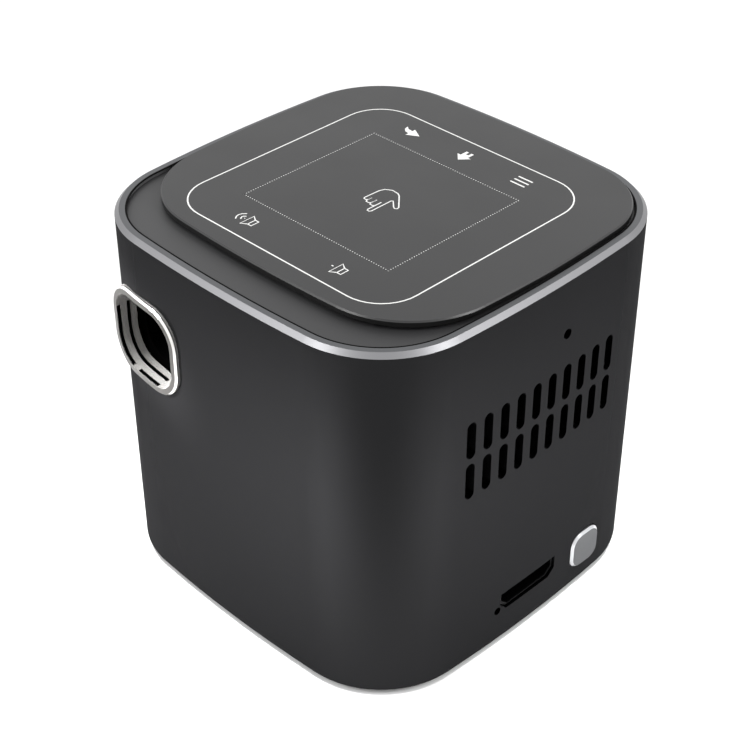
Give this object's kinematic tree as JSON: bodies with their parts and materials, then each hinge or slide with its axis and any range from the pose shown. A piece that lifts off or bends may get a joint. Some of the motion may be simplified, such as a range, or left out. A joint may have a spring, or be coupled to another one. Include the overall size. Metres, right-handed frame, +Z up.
{
  "type": "pocket home projector",
  "caption": "Small cube-shaped projector with a metal sleeve, touch panel on top, chrome-framed lens, side vents and ports, sprung power button and a tripod thread.",
  "frame": {"origin": "Below the middle of the body, at the height of the surface it stands on; the tripod thread's axis runs up through it.", "axes": "+Z up, the lens looks along -Y, the side with the vents, the power button and the mini HDMI port is +X."},
  "size_m": [0.0623, 0.0625, 0.0596],
  "materials": {
    "sleeve": "dark grey anodised aluminium, fine satin",
    "trim_ring": "grey anodised aluminium with a diamond-cut bright chamfer",
    "deck_plastic": "dark grey moulded plastic, fine matte",
    "touch_surface": "dark grey hard-coated touch panel with white printing",
    "sensor_film": "printed sensor film",
    "foam_rubber": "black closed-cell foam",
    "chrome_trim": "polished chrome",
    "black_plastic": "black moulded plastic, matte",
    "black_metal": "black anodised aluminium, matte",
    "optical_glass": "clear polished optical glass, coated",
    "mirror_glass": "thin coated mirror glass",
    "steel": "nickel-plated steel, satin",
    "screw_steel": "black-finished steel",
    "button_metal": "silver anodised aluminium, satin with a bright chamfer",
    "cast_metal": "die-cast aluminium, blasted",
    "circuit_board": "green solder mask",
    "chip_black": "black moulded chip packages",
    "light_source": "light source under clear resin",
    "coil": "enamelled copper winding",
    "brass": "turned brass, threaded inside",
    "mic_can": "pressed metal can",
    "battery_wrap": "shrink wrap round the cell",
    "speaker_frame": "black painted steel",
    "speaker_paper": "black pressed paper cone",
    "magnet": "nickel-plated magnet",
    "foot_rubber": "black moulded rubber, matte"
  },
  "bodies": {
    "root": {"body_shell": "sleeve", "top_ring": "trim_ring", "top_deck": "deck_plastic", "panel_gasket": "foam_rubber", "touch_panel": "touch_surface", "touch_sensor": "sensor_film", "touch_flex": "sensor_film", "lens_bezel": "chrome_trim", "lens_shroud": "black_plastic", "lens_mount": "black_plastic", "focus_axle": "steel", "engine_housing": "cast_metal", "engine_cover": "cast_metal", "prism": "optical_glass", "light_plates": "mirror_glass", "condenser_lenses": "optical_glass", "source_board": "circuit_board", "light_sources": "light_source", "dmd_chip": "chip_black", "dmd_board": "circuit_board", "heat_sink": "cast_metal", "fan_frame": "black_plastic", "fan_stator": "coil", "main_board": "circuit_board", "board_chips": "chip_black", "hdmi_shell": "steel", "hdmi_tongue": "black_plastic", "usb_shell": "steel", "usb_tongue": "black_plastic", "audio_jack": "black_plastic", "power_inlet": "black_plastic", "power_switch": "black_plastic", "reset_switch": "black_plastic", "microphone": "mic_can", "battery_pack": "battery_wrap", "battery_pad": "foam_rubber", "speaker_basket": "speaker_frame", "speaker_cone": "speaker_paper", "speaker_magnet": "magnet", "lower_frame": "black_plastic", "upper_frame": "black_plastic", "base_plate": "black_plastic", "rubber_foot": "foot_rubber", "tripod_insert": "brass", "base_screws": "screw_steel", "deck_screws": "screw_steel", "board_screws": "screw_steel", "engine_screws": "screw_steel", "lens_screws": "screw_steel"},
    "power_button": {"power_button": "button_metal", "power_plunger": "black_plastic"},
    "reset_plunger": {"reset_plunger": "black_plastic"},
    "fan_rotor": {"fan_rotor": "black_plastic"},
    "focus_wheel": {"focus_wheel": "black_plastic"},
    "focus_ring": {"focus_ring": "black_plastic"},
    "lens_barrel": {"lens_barrel": "black_metal", "front_element": "optical_glass", "rear_element": "optical_glass"}
  },
  "joints": [
    {"name": "power_button_press", "type": "slide", "parent": "root", "child": "power_button", "axis": [-1, 0, 0], "range_m": [0, 0.0004], "stiffness_N_per_m": 800},
    {"name": "reset_press", "type": "slide", "parent": "root", "child": "reset_plunger", "axis": [-1, 0, 0], "range_m": [0, 0.00025], "stiffness_N_per_m": 400},
    {"name": "fan_spin", "type": "hinge", "parent": "root", "child": "fan_rotor", "pos_m": [0.024, 0, 0.0381], "axis": [1, 0, 0], "continuous": true},
    {"name": "focus_wheel_turn", "type": "hinge", "parent": "root", "child": "focus_wheel", "pos_m": [-0.0266, -0.01755, 0.0426], "axis": [0, 1, 0], "range_deg": [-150, 150]},
    {"name": "focus_ring_turn", "type": "hinge", "parent": "root", "child": "focus_ring", "pos_m": [-0.0162, -0.01755, 0.0426], "axis": [0, 1, 0], "range_deg": [-102, 102]},
    {"name": "lens_focus", "type": "slide", "parent": "root", "child": "lens_barrel", "axis": [0, 1, 0], "range_m": [-0.0009, 0.0009]}
  ],
  "couplings": [
    {"joint": "focus_wheel_turn", "follows": "lens_focus", "rad_per_m": 2908.9},
    {"joint": "focus_ring_turn", "follows": "lens_focus", "rad_per_m": -1970.5}
  ]
}
